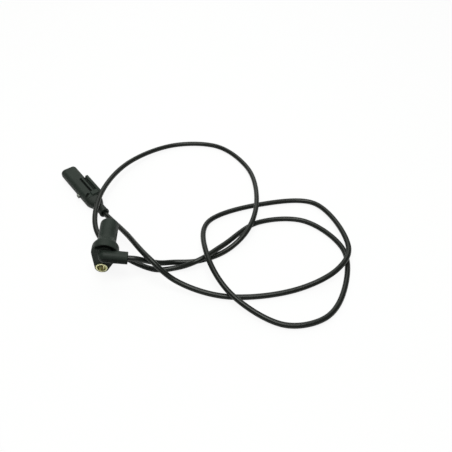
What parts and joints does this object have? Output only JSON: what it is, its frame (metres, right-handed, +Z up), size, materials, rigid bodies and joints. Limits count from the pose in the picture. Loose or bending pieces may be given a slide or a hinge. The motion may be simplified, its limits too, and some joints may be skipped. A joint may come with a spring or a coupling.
{
  "type": "abs wheel speed sensor",
  "caption": "Wheel speed sensor with a round nose, a bolt ear with a brass bushing, and a long looped cord ending in a flat oval plug.",
  "frame": {"origin": "on the resting surface, under the middle of the sensor head's box", "axes": "+Y along the barrel towards the nose, +Z up from the resting surface, +X from the head towards its cable outlet"},
  "size_m": [0.3008, 0.2704, 0.0378],
  "materials": {
    "black_plastic": "moulded, faintly glossy",
    "brass": "machined",
    "carrier_plastic": "moulded",
    "magnet": "ground",
    "chip": "moulded",
    "tinned_copper": "tinned",
    "red_core": "extruded",
    "blue_core": "extruded",
    "cord_sheath": "extruded, faintly glossy",
    "boot_rubber": "moulded",
    "pale_lock": "moulded",
    "holder_plastic": "moulded",
    "seal_rubber": "moulded"
  },
  "bodies": {
    "root": {"sensor_housing": "black_plastic", "mounting_bushing": "brass", "chip_carrier": "carrier_plastic", "bias_magnet": "magnet", "sensing_chip": "chip", "chip_lead_1": "tinned_copper", "chip_lead_2": "tinned_copper", "core_crimp_1": "tinned_copper", "core_crimp_2": "tinned_copper", "head_core_wire_1": "red_core", "head_core_wire_2": "blue_core", "connector_housing": "black_plastic", "terminal_holder": "holder_plastic", "terminal_lock": "pale_lock", "strain_relief_boot": "boot_rubber", "terminal_pin_1": "tinned_copper", "terminal_pin_2": "tinned_copper", "wire_seal_1": "seal_rubber", "wire_seal_2": "seal_rubber", "plug_core_wire_1": "red_core", "plug_core_wire_2": "blue_core", "cable": "cord_sheath"}
  },
  "joints": []
}
